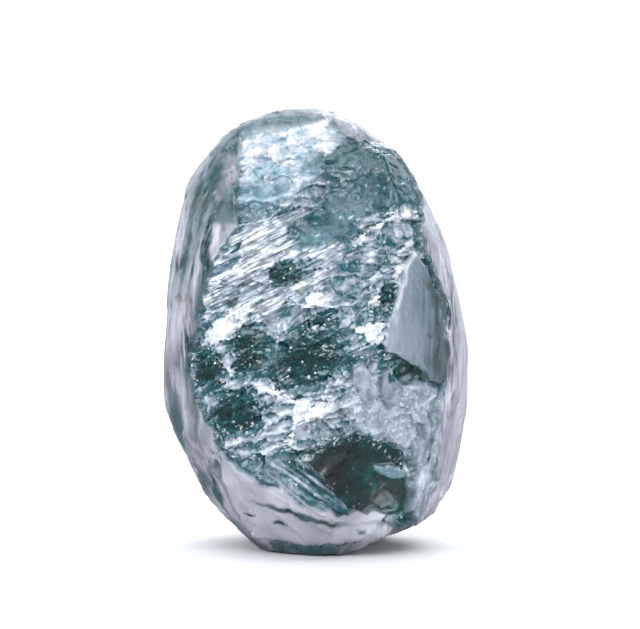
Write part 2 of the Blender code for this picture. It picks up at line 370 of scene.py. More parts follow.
splintered = np.clip(hackly * (1 - SHOULDER_CALM * shoulder) + SCALLOP_SPLINTERS * scalloped, 0, 1)
splintered *= 1 - smooth_tongues
print("share of the points on the break", broken.mean().round(3))

# %% [markdown]
# ## The relief
#
# A diamond breaks along flat planes that lie close together, so a rough break is a pile of
# small tilted plates. Noise alone looks like putty. Here each plate is a cell of a Voronoi
# pattern with a level and a tilt of its own, and the deepest of the neighbouring cells wins,
# which leaves sharp crests between flat floors.

# %% A pattern of plates
LAYER_SLOPE = 27
PLATE_TILT = 1.4
PLATE_DISH = 0.3
CREST_WIDTH = 0.10
CHANCE_SPREAD = 7.3
PLATE_SEED_DIRECTION = (1, -1, 0.5)


def sloped(points, slope):
    """The points turned so that the first axis runs along a slope and the third across it."""
    t = math.radians(slope)
    along = points[:, 0] * math.cos(t) + points[:, 2] * math.sin(t)
    across = points[:, 2] * math.cos(t) - points[:, 0] * math.sin(t)
    return np.stack([along, points[:, 1], across], axis=1)


def plate_here(place):
    """The deepest neighbouring plate: how deep, by how much it wins, its chance, its middle."""
    deepest, second, number, winner = 0.0, 0.0, 0.0, place
    for distance, middle in zip(*noise.voronoi(place)):
        chance = noise.cell_vector(middle * CHANCE_SPREAD)
        away = place - middle
        level = abs(chance.x) + PLATE_TILT * (chance.y * away.x + chance.z * away.z)
        level -= PLATE_DISH * distance * distance
        if level > deepest:
            deepest, second, number, winner = level, deepest, chance.z, middle
        else:
            second = max(second, level)
    return deepest, deepest - second, number, *winner


def plates(points, share, size, seed, slope=LAYER_SLOPE):
    """The depth, the share of crest, the chance number and the middle of the plate at each point."""
    here = share > 0
    shift = np.multiply(PLATE_SEED_DIRECTION, seed)
    scaled = sloped(points[here], slope) / size + shift
    found = np.zeros((len(points), 3))
    middles = points.copy()
    by_point = np.array([plate_here(Vector(place)) for place in scaled])
    found[here] = by_point[:, :3]
    middles[here] = sloped((by_point[:, 3:] - shift) * size, -slope)
    edges = smooth_step(CREST_WIDTH, 0, found[:, 1]) * share
    return found[:, 0] * share, edges, found[:, 2], middles


# %% [markdown]
# ## Three sizes of plate
#
# Large, middling and small plates lie over each other, all turned along a slope that rises to
# the right, and less deep in the layered band and in the hollows. Whether a smaller plate lies
# in a hollow, painted dark as shade, or on a white crest with painted glints, is decided at its
# middle, so hollows and crests end on the plates' own borders.

# %% Lay the plates over the break
PLATE_SIZES = [(0.62, 0.60, 0.36), (0.30, 0.26, 0.15), (0.13, 0.11, 0.07)]
PLATE_DEPTHS = (0.100, 0.045, 0.018)
TONE_SHARES = (0.45, 0.45, 0.40)
EDGE_SHARES = (1.00, 0.80, 0.30)
SHALLOWER = 0.5
FIRST_SEED = 1
SEED_STEP = 3.7

relief = np.zeros(len(points))
plate_tone = np.zeros(len(points))
edge_tone = np.zeros(len(points))
for number, (size, deep) in enumerate(zip(PLATE_SIZES, PLATE_DEPTHS)):
    seed = SEED_STEP * number + FIRST_SEED
    depth, edges, chance, middles = plates(points, splintered, size, seed)
    if number > 0:
        hollows = marks_share(middles, DARK_HOLLOWS)
        crests = marks_share(middles, WHITE_CRESTS, softness=0.25)
    relief -= deep * (1 - SHALLOWER * layered) * (1 - SHALLOWER * hollows) * depth
    plate_tone += TONE_SHARES[number] * chance
    edge_tone += EDGE_SHARES[number] * edges
print("plates down to", relief.min().round(3), "mm")

# %% [markdown]
# ## Layers, ledges and scallops
#
# In the layered band, packets of layers stand proud and show their edges as fine raised lines
# along the slope. Low on the left the break steps down in ledges, on a slope of their own. The
# frosted ground on the right is softly scalloped, with two smooth tongues.

# %% Raise the crests, the layers, the ledges and the scallops
CREST_RISE = 0.05
HOLLOW_DEPTH = 0.06
PACKET_RISE = 0.035
LAYER_RISE = 0.022
LINE_SHARPNESS = 4
LEDGE_SLOPE = -36
LEDGE_RISE = 0.040
FINE_LEDGES = 0.5
SCALLOP_HEIGHT = 0.05
TONGUE_RISE = 0.05

layer_places = sloped(points, LAYER_SLOPE)
ledge_places = sloped(points, LEDGE_SLOPE)
relief += (CREST_RISE * crests - HOLLOW_DEPTH * hollows) * np.maximum(hackly, lower_window)
packet_chance = plates(points, hackly * layered, size=(0.85, 0.85, 0.26), seed=51)[2]
packets = layered * hackly * smooth_step(0.05, 0.15, packet_chance)
layer_grain = grain(layer_places, size=(0.8, 0.4, 0.09), seed=5)
layer_lines = 1 - np.clip(np.abs(layer_grain) * LINE_SHARPNESS, 0, 1)
relief += packets * (PACKET_RISE + LAYER_RISE * layer_lines)
ledge_lines = grain(ledge_places, size=(1.5, 0.6, 0.075), seed=9)
ledge_lines += FINE_LEDGES * grain(ledge_places, size=(1.1, 0.5, 0.035), seed=10)
relief += ledges * LEDGE_RISE * smooth_step(-0.2, 0.2, ledge_lines)
scallops = SCALLOP_HEIGHT * grain(points, size=(0.30, 0.4, 0.50), seed=11)
relief += scalloped * (scallops + TONGUE_RISE * smooth_tongues)
print("share of the break in layer packets", packets[hackly > 0].mean().round(3))

# %% [markdown]
# ## The windows
#
# Where the break is clean, one looks into the stone through a window, and each window lies
# a little lower than the break round it. The upper one has fine grit and bright flecks on it,
# and the lower one has small pits and a splintered upper rim. The break and the skin are raised
# as a whole, to make up for what their plates and slabs take away.

# %% Sink the windows and roughen them
UPPER_WINDOW_DEPTH = 0.08
LOWER_WINDOW_DEPTH = 0.13
BREAK_RISE = 0.05
SKIN_RISE = 0.02
WINDOW_PLATES = 0.003
LOWER_WINDOW_PLATES = 0.012
GRIT_DEPTH = 0.010
PIT_DEPTH = 0.012
FLECK_SLOPE = 17
FLECK_RISE = 0.012
RIM_PLATES = 0.030

side = points[:, 0]
height = points[:, 2]


def near_outline(outline, width):
    """One on an outline seen from the front, fading to zero over a width on both sides."""
    return np.exp(-((inside_by(side, height, outline) / width) ** 2)) * front_share(points)


pits = grain(points, size=0.10, seed=17)
window_depth, _, window_chance, _ = plates(points, windows, size=(0.8, 0.8, 0.45), seed=35)
relief -= (WINDOW_PLATES + LOWER_WINDOW_PLATES * lower_window) * window_depth
relief -= UPPER_WINDOW_DEPTH * upper_window + LOWER_WINDOW_DEPTH * lower_window
relief += BREAK_RISE * broken + SKIN_RISE * skin
grit = plates(points, upper_window, size=(0.16, 0.12, 0.07), seed=83, slope=FLECK_SLOPE)
grit_depth, grit_edges, grit_chance, _ = grit
relief -= GRIT_DEPTH * upper_window * grit_depth + PIT_DEPTH * lower_window * np.maximum(pits, 0)
window_rim = near_outline(LOWER_WINDOW, width=0.16)
window_rim *= smooth_step(-2.45, -2.25, height) * smooth_step(1.9, 1.6, side)
rim_depth, rim_edges, rim_chance, _ = plates(points, window_rim, size=(0.12, 0.12, 0.08), seed=87)
relief -= RIM_PLATES * window_rim * rim_depth
flecks = smooth_step(0.35, 0.55, grain(sloped(points, FLECK_SLOPE), size=(0.16, 0.3, 0.05), seed=41))
flecks *= smooth_step(-0.2, 0.3, grain(points, size=0.6, seed=42))
relief += FLECK_RISE * flecks * upper_window
print("relief in the windows down to", relief[windows > 0].min().round(3), "mm")

# %% [markdown]
# ## The natural skin
#
# The natural faces grew in long upright steps. Upright slabs of two sizes and finer fibres give
# them, and they cut deeper in grooved places. The skin ends on the right of the break in
# a wavy, slightly raised rim.

# %% Groove the skin, and raise its rim
BROAD_FIBRES = 0.7
SLAB_DEPTH = 0.030
FINE_SLAB_DEPTH = 0.004
GROOVED_SLAB_DEPTH = 0.016
RIB_RISE = 0.020
RIB_HEIGHT = 0.035
FIBRE_HEIGHT = 0.004
GROOVED_FIBRE_HEIGHT = 0.020
SKIN_PIT_HEIGHT = 0.004
LOWER_FACE_FIBRES = 0.1
RIM_RISE = 0.03
RIM_WAVES = 0.05

fibres = grain(points, size=(0.06, 0.06, 0.9), seed=15)
fibres += BROAD_FIBRES * grain(points, size=(0.16, 0.16, 0.8), seed=16)
grooved_marks = marks_share(points, GROOVED_PLACES, softness=0.6)
grooved = smooth_step(0.2, 0.6, grain(points, size=(0.7, 0.7, 1.1), seed=18))
grooved = np.maximum(grooved, grooved_marks)
slab_depth, slab_edges, slab_chance, _ = plates(points, skin, size=(0.24, 0.24, 1.5), seed=61, slope=0)
fine_depth, _, fine_chance, _ = plates(points, skin, size=(0.09, 0.09, 0.8), seed=67, slope=0)
relief += ribbed * (RIB_RISE + RIB_HEIGHT * fibres)
fibre_relief = (FIBRE_HEIGHT + GROOVED_FIBRE_HEIGHT * grooved) * fibres + SKIN_PIT_HEIGHT * pits
relief += (skin + LOWER_FACE_FIBRES * lower_face) * fibre_relief
relief -= skin * (SLAB_DEPTH * slab_depth + (FINE_SLAB_DEPTH + GROOVED_SLAB_DEPTH * grooved) * fine_depth)
right_rim = near_outline(BROKEN, width=0.07)
right_rim *= smooth_step(1.7, 1.9, side) * smooth_step(2.0, 1.6, height)
relief += right_rim * (RIM_RISE + RIM_WAVES * grain(points, size=(0.05, 0.3, 0.30), seed=71))
print("relief from", relief.min().round(3), "to", relief.max().round(3), "mm")

# %% [markdown]
# ## Work the relief into the mesh
#
# Every point moves out or in along the direction that its face looks in, and none goes below
# the floor. An edge that turns sharply is marked sharp, so a break looks crisp and not melted.

# %% Move the points
CRISP_ANGLE = math.radians(35)

moved = points + outward * relief[:, None]
moved[:, 2] = np.maximum(moved[:, 2], -MIDDLE_HEIGHT)
written = ((moved + (0, 0, MIDDLE_HEIGHT)) * MM).astype(np.float32)
crystal.data.vertices.foreach_set("co", written.ravel())
crystal.data.update()
crystal.data.set_sharp_from_angle(angle=CRISP_ANGLE)
print("height of the worked crystal", (written[:, 2].max() / MM).round(3), "mm")

# %% [markdown]
# ## Crests and hollows
#
# Broken crystal is bright along its crests, which are splintered and scatter light. Its hollows
# are painted deeper, as painted shade over a view into the teal stone. The mesh can say which is
# which: a point that stands proud of a smoothed copy of the mesh is on a crest, and one that lies
# below it is in a hollow.

# %% Measure how proud each point stands
FINE_ROUNDS = 3
BROAD_ROUNDS = 25
MOSTLY = 0.5


def proud_by(mesh, rounds):
    """How far each point stands out of the mesh smoothed this many times, in millimetres."""
    bm = bmesh.new()
    bm.from_mesh(mesh)
    for _ in range(rounds):
        bmesh.ops.smooth_vert(
            bm, verts=bm.verts, factor=0.5, use_axis_x=True, use_axis_y=True, use_axis_z=True
        )
    smoothed = np.array([vertex.co for vertex in bm.verts]) / MM
    bm.free()
    return np.sum((read(mesh, "co") / MM - smoothed) * outward, axis=1)


fine_crest = proud_by(crystal.data, FINE_ROUNDS)
broad_crest = proud_by(crystal.data, BROAD_ROUNDS)
print("fine crests spread by", fine_crest[hackly > MOSTLY].std().round(4), "mm")
print("broad crests spread by", broad_crest[hackly > MOSTLY].std().round(4), "mm")

# %% [markdown]
# ## Tones
#
# Attributes on the points carry the finish, so it is part of the stone and turns with it. The
# tint is the colour of the surface itself. The clearness says how much light gets through it,
# and the dullness how frosted it is. Each kind of surface has a run of such tones, from its
# deepest to its palest.

# %% The tints
NEAR_BLACK = (0.001, 0.022, 0.021)
BROWN_BLACK = (0.016, 0.020, 0.018)
BLACK_GREEN = (0.004, 0.034, 0.032)
DEEP_GREEN = (0.004, 0.080, 0.076)
DEEP_TEAL = (0.002, 0.180, 0.185)
TEAL = (0.030, 0.245, 0.280)
BLUE_TEAL = (0.075, 0.260, 0.315)
CLOUDED_TEAL = (0.010, 0.100, 0.130)
HAZE_TEAL = (0.022, 0.130, 0.165)
EMERALD = (0.0, 0.17, 0.145)
DUSK_LAVENDER = (0.21, 0.29, 0.35)
PALE_BLUE = (0.25, 0.41, 0.49)
LAVENDER = (0.37, 0.41, 0.51)
FROST_WHITE = (0.46, 0.53, 0.62)
WHITE = (0.68, 0.71, 0.76)
BRIGHT_WHITE = (0.80, 0.83, 0.87)
GREY_GREEN = (0.085, 0.140, 0.150)
SKIN_GROOVE = (0.025, 0.080, 0.080)
SKIN_SHADOW = (0.060, 0.150, 0.165)
SKIN_LAVENDER = (0.310, 0.320, 0.380)
SKIN_PALE = (0.590, 0.580, 0.665)
BROWN_STAIN = (0.15, 0.090, 0.080)

# %% The finishes
# How each finish runs from its deepest tone, 0, to its palest, 1:
# (place in the run, tint, clearness, dullness).
GLASSY_BREAK = [
    (0.00, NEAR_BLACK, 0.35, 0.16), (0.06, DEEP_TEAL, 0.65, 0.18), (0.17, TEAL, 0.50, 0.22),
    (0.32, BLUE_TEAL, 0.34, 0.26), (0.46, DUSK_LAVENDER, 0.24, 0.30), (0.63, LAVENDER, 0.14, 0.34),
    (0.80, FROST_WHITE, 0.08, 0.34), (0.94, BRIGHT_WHITE, 0.03, 0.34),
]
CLOUDED_WINDOW = [
    (0.00, DEEP_TEAL, 0.40, 0.24), (0.20, CLOUDED_TEAL, 0.20, 0.28), (0.65, HAZE_TEAL, 0.12, 0.30),
    (0.88, BLUE_TEAL, 0.12, 0.30), (0.94, PALE_BLUE, 0.10, 0.30), (1.00, WHITE, 0.05, 0.30),
]
# The near-black tints of the clear window are painted shade.
CLEAR_WINDOW = [
    (0.00, BROWN_BLACK, 0.35, 0.30), (0.35, BLACK_GREEN, 0.40, 0.30), (0.75, DEEP_GREEN, 0.45, 0.28),
    (0.93, EMERALD, 0.45, 0.26), (1.00, PALE_BLUE, 0.20, 0.26),
]
FROST = [
    (0.00, TEAL, 0.40, 0.25), (0.06, BLUE_TEAL, 0.25, 0.35), (0.22, PALE_BLUE, 0.12, 0.45),
    (0.55, FROST_WHITE, 0.06, 0.50), (0.85, WHITE, 0.03, 0.45), (1.00, BRIGHT_WHITE, 0.03, 0.45),
]
LAVENDER_FROST = [
    (0.00, DEEP_TEAL, 0.60, 0.20), (0.06, GREY_GREEN, 0.40, 0.30), (0.20, DUSK_LAVENDER, 0.20, 0.35),
    (0.50, LAVENDER, 0.10, 0.40), (0.80, FROST_WHITE, 0.08, 0.40), (1.00, WHITE, 0.03, 0.35),
]
NATURAL_SKIN = [
    (0.00, SKIN_GROOVE, 0.25, 0.26), (0.15, SKIN_SHADOW, 0.20, 0.30), (0.45, SKIN_LAVENDER, 0.16, 0.34),
    (0.80, SKIN_PALE, 0.12, 0.36), (1.00, WHITE, 0.06, 0.34),
]

# %% Brown stains, and green glows of painted light, as marks like those above
STAINS = [
    (-2.05, 2.25, 0.20, 0.28, 80), (-2.28, 0.60, 0.08, 0.30, 85), (-1.55, 2.30, 0.14, 0.22, 80),
    (2.00, 0.80, 0.07, 0.16, 80), (1.96, -0.05, 0.06, 0.10, 80),
]
EMERALD_GLOWS = [
    (1.00, -2.55, 0.35, 0.25, 10), (1.60, -0.58, 0.30, 0.10, -35), (-1.60, 2.20, 0.05, 0.05, 0),
    (0.55, -3.05, 0.30, 0.12, 20),
]

# %% [markdown]
# ## How the tones are laid on
#
# Each finish is laid over its own ground. A point's place in the run comes from its rank among
# the points of that ground, so the shares of deep and pale tones hold however the patterns
# that order them are mixed. The patterns have names, and each finish gives its own weights.

# %% Rank the points, and lay a run of tones
PLAIN_CLEARNESS = 0.75
PLAIN_DULLNESS = 0.08

tint = np.tile(np.array(TEAL), (len(points), 1))
clearness = np.full(len(points), PLAIN_CLEARNESS)
dullness = np.full(len(points), PLAIN_DULLNESS)


def ranked(values, share, low=0.0, high=1.0):
    """The place of each value among those on one kind of ground, from low to high."""
    ordered = np.sort(values[share > MOSTLY])
    return low + (high - low) * np.searchsorted(ordered, values) / len(ordered)


def mixed(**weights):
    """Patterns added up, each by its own weight."""
    return sum(weight * patterns[name] for name, weight in weights.items())


def finished(share, run, rank):
    """Lays a run of tones over part of the points, each at its own place in the run."""
    stops = [stop[0] for stop in run]
    share = np.clip(share, 0, 1)
    for channel in range(3):
        wanted = np.interp(rank, stops, [stop[1][channel] for stop in run])
        tint[:, channel] += (wanted - tint[:, channel]) * share
    clearness[:] += (np.interp(rank, stops, [stop[2] for stop in run]) - clearness) * share
    dullness[:] += (np.interp(rank, stops, [stop[3] for stop in run]) - dullness) * share


def show_tint(name, share):
    print("mean tint of", name, tint[share > MOSTLY].mean(axis=0).round(3))


# %% Gather the patterns that order the tones
VEIL_FRAY = 0.3
VEIL_SHARPNESS = 4
VEIL_LEAST = -0.2

veils = grain(layer_places, size=(0.70, 0.5, 0.22), seed=32)
veils += VEIL_FRAY * grain(points, size=0.12, seed=33)
speckle = grain(points, size=0.06, seed=22)
patterns = dict(
    side=side,
    height=height,
    mottle=grain(points, size=0.5, seed=21),
    clouds=grain(points, size=0.22, seed=23),
    speckle=speckle,
    specks=smooth_step(0.50, 0.62, speckle),
    fine_crests=fine_crest / fine_crest[hackly > MOSTLY].std(),
    broad_crests=broad_crest / broad_crest[hackly > MOSTLY].std(),
    plates=plate_tone,
    plate_edges=edge_tone,
    veils=np.maximum(1 - VEIL_SHARPNESS * np.abs(veils), VEIL_LEAST),
    packets=packets, crests=crests, crest_edges=crests * edge_tone, hollows=hollows,
    window_plates=window_chance, grit=grit_chance, grit_edges=grit_edges, flecks=flecks,
    glows=marks_share(points, EMERALD_GLOWS, softness=0.8),
    facet_streaks=grain(points, size=(0.05, 0.5, 0.8), seed=24),
    ledge_lines=ledge_lines, fibres=fibres, slabs=slab_chance, slab_edges=slab_edges,
    fine_slabs=fine_chance, grooved_marks=grooved_marks,
    blotches=grain(points, size=(0.60, 0.60, 1.0), seed=25),
    bands=grain(points, size=(0.40, 0.40, 2.4), seed=26),
    grooves=grain(points, size=(0.09, 0.09, 0.60), seed=15),
    shaded_corner=smooth_step(0.8, 2.6, height) * smooth_step(0.4, -0.6, side),
)
print("patterns", len(patterns))

# %% [markdown]
# ## The glassy break
#
# On the hackly break each plate has its own tone: some are clear and deep, and some are bright
# with splinters. Pale veils follow the layers, white crests with painted glints stand out, and
# the hollows are painted dark, as painted shade.

# %% Finish the hackly break
BREAK_CURVE = 0.92
HOLLOW_DARKENING = 0.6

# Points lying below the smoothed mesh are painted darker, as painted shade in the hollows; points
# standing proud are paler, as splintered crests.
break_tone = mixed(
    plates=1.3, plate_edges=0.9, mottle=0.6, clouds=0.35, speckle=0.15, fine_crests=0.2,
    broad_crests=0.25, veils=0.60, packets=0.62, crests=2.2, crest_edges=-0.5, hollows=-2.2,
)
# The hollows are darkened once more here, as painted shade.
break_rank = ranked(break_tone, hackly) ** BREAK_CURVE * (1 - HOLLOW_DARKENING * hollows)
finished(hackly, GLASSY_BREAK, break_rank)
show_tint("the break", hackly)

# %% [markdown]
# ## The two windows
#
# The upper window is clouded, and grows paler downwards, with flecks and grit on it. The lower
# one is clear, and painted nearly black as painted shade, with painted green glows of light
# coming through it in places. Its splintered rim is finished as the break is, and its bright
# tones are painted sparkles.

# %% Finish the windows
RIM_SHARE = 0.8
RIM_CHANCES = 0.4
RIM_DEEPEST = 0.04
RIM_SPAN = 0.95

window_tone = mixed(clouds=0.5, mottle=0.7, window_plates=0.3, grit=0.3, speckle=0.15, height=-0.6)
window_rank = ranked(window_tone, upper_window, high=0.76)
# The white crest marks in the windows are painted highlight lines.
finished(upper_window, CLOUDED_WINDOW, window_rank + mixed(crests=0.40, flecks=0.45, grit_edges=0.10))
# The green glows are painted light coming through the stone.
clear_tone = mixed(clouds=0.5, mottle=0.3, speckle=0.2, glows=0.6, side=0.6, height=-0.4)
clear_rank = ranked(clear_tone, lower_window, high=0.92)
finished(lower_window, CLEAR_WINDOW, clear_rank + mixed(crests=0.5))
# The bright tones along the rim are painted sparkles over its real splinters.
rim_brightness = smooth_step(0.3, 0.9, rim_edges + RIM_CHANCES * rim_chance)
finished(RIM_SHARE * window_rim, GLASSY_BREAK, RIM_DEEPEST + RIM_SPAN * rim_brightness)
show_tint("the lower window", lower_window)

# %% [markdown]
# ## Frost, scallops and tongues
#
# The shoulder at the top and the scalloped ground on the right are frosted: they scatter light
# before it gets in, so they are pale and only a little clear.

# %% Finish the frosted grounds
TONGUE_TONE = 0.40

frost_tone = mixed(mottle=0.5, clouds=0.8, speckle=0.35, fine_crests=0.15, height=0.9, plate_edges=0.5)
finished(shoulder, FROST, ranked(frost_tone, shoulder, low=0.06))
scallop_tone = mixed(plates=0.5, speckle=0.3, mottle=0.3, fine_crests=0.3, broad_crests=0.3, crests=0.8)
finished(scalloped, LAVENDER_FROST, ranked(scallop_tone, scalloped, low=0.24))
tongue_rank = TONGUE_TONE + mixed(mottle=0.12, clouds=-0.25)
finished(smooth_tongues * scalloped, LAVENDER_FROST, tongue_rank)
show_tint("the shoulder", shoulder)

# %% [markdown]
# ## The smooth facet, and the small grounds
#
# One flat facet on the right has hardly any relief. It is painted pale on its left and deeper to
# the right, a painted fall of light and shade across the flat face, with faint upright streaks, a
# few bright specks that are painted glints, and a white line along its edge.
# The ledges, the ribbed corner and a teal wedge are small, and follow their own lines.

# %% Finish the smooth facet
FACET_SIDES = (1.3, 1.7, 1.95, 2.15)
# The facet's tones from left to right are painted light and shade.
FACET_TONES = (0.46, 0.32, 0.19, 0.08)
FACET_DEEPEST = 0.07
EDGE_LEFT_OF = 1.9
EDGE_ABOVE = -0.2

facet_rank = np.interp(side, FACET_SIDES, FACET_TONES)
# The bright specks and the crest marks on the facet are painted glints.
facet_rank += mixed(facet_streaks=0.09, mottle=0.05, clouds=0.05, crests=0.5, specks=0.35)
finished(smooth_facet, LAVENDER_FROST, np.maximum(facet_rank, FACET_DEEPEST))
edge_distance = inside_by(side, height, SMOOTH_FACET)
facet_edge = np.exp(-((edge_distance / 0.03) ** 2)) * (side < EDGE_LEFT_OF) * (height > EDGE_ABOVE)
finished(facet_edge * broken, LAVENDER_FROST, np.ones(len(points)))
show_tint("the facet", smooth_facet)

# %% Finish the ledges, the ribbed corner and the teal wedge
RIB_TONE = 0.5
WEDGE_TONE = 0.85

ledge_tone = mixed(ledge_lines=1.0, clouds=0.3, mottle=0.3, speckle=0.2, side=-0.5, height=-0.5)
finished(ledges, GLASSY_BREAK, ranked(ledge_tone, ledges, high=0.8))
finished(ribbed, LAVENDER_FROST, RIB_TONE + mixed(fibres=0.55, clouds=0.3, speckle=0.1))
finished(wedge, CLEAR_WINDOW, WEDGE_TONE + mixed(clouds=0.3, speckle=0.3))
show_tint("the ledges", ledges)

# %% [markdown]
# ## The tones of the natural skin
#
# The natural faces are pale lavender with teal shadows in broad upright patches, and each slab
# has a tone of its own. Grooved places are more streaked, and the marked ones are painted darker,
# as painted shade in the grooves. The right flank is painted palest, as a painted reflection of
# the bright tent, the lower face is painted pale as a painted reflection of the floor, and the
# upper left corner lies in painted shade. Thin teal slots cut the skin, and a few places are
# stained brown.

# %% Finish the lower face and the skin
RIB_DARKENING = 0.5
RIM_LINE_LEVEL = 0.1
RIM_LINE_STRENGTH = 1.2
SLOT_DARKENING = 0.85
SLOT_TONE = 0.08

# The lower face is painted paler than the other skin, as a painted reflection of the floor below it.
lower_tone = mixed(mottle=0.6, clouds=0.3, fibres=0.1)
finished(lower_face, NATURAL_SKIN, ranked(lower_tone, lower_face, low=0.66, high=0.88))
# Marked grooves are painted darker, as painted shade in the grooves.
skin_tone = mixed(
    blotches=0.6, bands=0.4, mottle=0.2, slabs=0.35, slab_edges=0.3, fine_slabs=0.20,
    crests=0.9, grooved_marks=-0.5, shaded_corner=-0.35,
)
skin_tone += grooved * mixed(grooves=1.1, fibres=0.6, fine_slabs=0.4)
# The right flank is painted paler, as a painted reflection of the bright tent round it.
pale_flank = smooth_step(1.4, 2.1, side) * smooth_step(1.6, 0.4, points[:, 1])
skin_rank = pale_flank * ranked(skin_tone, skin, low=0.58, high=0.94)
skin_rank += (1 - pale_flank) * ranked(skin_tone, skin, low=0.12, high=0.82)
slots = marks_share(points, TEAL_SLOTS, softness=0.35)
# Ribs in the marked grooves are painted darker, as painted shade in the grooves.
ribs = grooved_marks * smooth_step(0.05, 0.35, grain(points, size=(0.05, 0.05, 0.5), seed=73))
rim_lines = right_rim * (grain(points, size=(0.04, 0.3, 0.4), seed=72) - RIM_LINE_LEVEL)
skin_rank += RIM_LINE_STRENGTH * rim_lines - RIB_DARKENING * ribs
skin_rank = np.clip(skin_rank, 0, 1) * (1 - SLOT_DARKENING * slots)
finished(skin * (1 - lower_face), NATURAL_SKIN, skin_rank)
finished(slots * lower_face, NATURAL_SKIN, SLOT_TONE + mixed(clouds=0.2))
show_tint("the skin", skin)

# %% Stain a few places brown
STAIN_STRENGTH = 0.7

stained = marks_share(points, STAINS, softness=0.7)
stained *= smooth_step(-0.1, 0.3, grain(points, size=(0.2, 0.2, 0.3), seed=75))
tint += (np.array(BROWN_STAIN) - tint) * STAIN_STRENGTH * stained[:, None]
print("stained points", int((stained > MOSTLY).sum()))

# %% [markdown]
# ## Keep the finish on the points
#
# The material's own noise is finer than the mesh. Four more shares say where it works: streaks
# in the layer packets, fibres up the skin, a sugary grain on the break, and painted sparkles,
# dots of painted glint, where the break is rough. Kept on the points, all seven move with the stone.

# %% Write the attributes
FAINT_STREAKS = 0.06
FIBRES_EVERYWHERE = 0.45
FACET_FIBRES = 0.35
WINDOW_CALM = 0.6
FACET_CALM = 0.9


def keep_on_points(mesh, name, values):
    if values.ndim == 1:
        attribute = mesh.attributes.new(name, "FLOAT", "POINT")
        attribute.data.foreach_set("value", values.astype(np.float32))
    else:
        attribute = mesh.attributes.new(name, "FLOAT_COLOR", "POINT")
        full = np.concatenate([values, np.ones((len(values), 1))], axis=1)
        attribute.data.foreach_set("color", full.astype(np.float32).ravel())


skin_fibres = skin * (1 - lower_face) * (FIBRES_EVERYWHERE + (1 - FIBRES_EVERYWHERE) * grooved)
rough_break = broken * (1 - smooth_facet) * (1 - lower_face)
finish = {
    "tint": tint,
    "clearness": clearness,
    "dullness": dullness,
    "streaked": np.clip(packets + FAINT_STREAKS * hackly, 0, 1),
    "fibrous": skin_fibres + FACET_FIBRES * smooth_facet,
    "sugary": np.clip(rough_break * (1 - WINDOW_CALM * lower_window), 0, 1),
    # Where painted white sparkles, painted glints, lie on the break:
    "crumbly": np.clip(broken * (1 - FACET_CALM * smooth_facet) * (1 - WINDOW_CALM * windows), 0, 1),
}
for name, values in finish.items():
    keep_on_points(crystal.data, name, values)
    print(name, "mean", values.mean().round(3))

# %% [markdown]
# ## The crystal's material
#
# Diamond is clear, with the highest refraction of any gem, and this one takes its colour from
# what it absorbs on the way through: red first. Transmission, the refraction of diamond and an
# absorbing volume give that. The frosted and splintered places scatter light before it gets in,
# so the tint, the transmission and the roughness follow the attributes.

# %% Start the material, with helpers that add its nodes
DIAMOND_IOR = 2.417

stone = bpy.data.materials.new("blue_green_diamond")
stone.use_nodes = True
nodes = stone.node_tree.nodes
shader = nodes["Principled BSDF"]
shader.inputs["IOR"].default_value = DIAMOND_IOR


def feed(socket, value):
    """Gives a socket a value of its own, or links it to the socket that feeds it."""
    if isinstance(value, bpy.types.NodeSocket):
        socket.id_data.links.new(value, socket)
    else:
        socket.default_value = value


def blended(tree, factor, first, second, data_type="RGBA", blend_type="MIX"):
    """Two values or sockets, blended by a factor."""
    node = tree.nodes.new("ShaderNodeMix")
    node.data_type = data_type
    node.blend_type = blend_type
    for name, value in (("Factor", factor), ("A", first), ("B", second)):
        feed(node.inputs[name], value)
    return node.outputs["Result"]


def attribute_of(name, output="Fac"):
    node = nodes.new("ShaderNodeAttribute")
    node.attribute_name = name
    return node.outputs[output]


def calculated(operation, *values):
    node = nodes.new("ShaderNodeMath")
    node.operation = operation
    for socket, value in zip(node.inputs, values):
        feed(socket, value)
    return node.outputs[0]


def times(first, second):
    return calculated("MULTIPLY", first, second)


def ranged(value, low, high, new_low, new_high):
    node = nodes.new("ShaderNodeMapRange")
    for socket, fed in zip(node.inputs, (value, low, high, new_low, new_high)):
        feed(socket, fed)
    return node.outputs[0]


def texture(vector, per_metre, detail, roughness):
    node = nodes.new("ShaderNodeTexNoise")
    feed(node.inputs["Vector"], vector)
    feed(node.inputs["Scale"], per_metre)
    feed(node.inputs["Detail"], detail)
    feed(node.inputs["Roughness"], roughness)
    return node.outputs[0]


def mapped(vector, rotation=(0, 0, 0), scale=(1, 1, 1)):
    node = nodes.new("ShaderNodeMapping")
    feed(node.inputs["Vector"], vector)
    feed(node.inputs["Rotation"], rotation)
    feed(node.inputs["Scale"], scale)
    return node.outputs[0]


def shaded(share, factor):
    """1 where the share is 0, and the factor where the share is 1."""
    return calculated("ADD", 1.0, times(share, calculated("SUBTRACT", factor, 1.0)))


# %% [markdown]
# ## Patterns finer than the mesh
#
# Streaks along the layers, fibres up the skin and a sugary grain are finer than the mesh, so
# they are noise in the material. Each one darkens and brightens the tint only where its share
# says so, and gives a fine bump as well. The sugary grain changes the roughness too.

# %% Make the patterns, and shade the tint with them
# How far each pattern changes what it works on, as (noise from, noise to, least, most).
SUGAR_SHADE = (0.3, 0.7, 0.75, 1.25)
CLOUDING_SHADE = (0.3, 0.7, 0.75, 1.25)
STREAK_SHADE = (0.42, 0.58, 0.45, 1.5)
FIBRE_SHADE = (0.35, 0.65, 0.50, 1.35)
STREAK_SQUEEZE = 11
FIBRE_STRETCH = 0.10

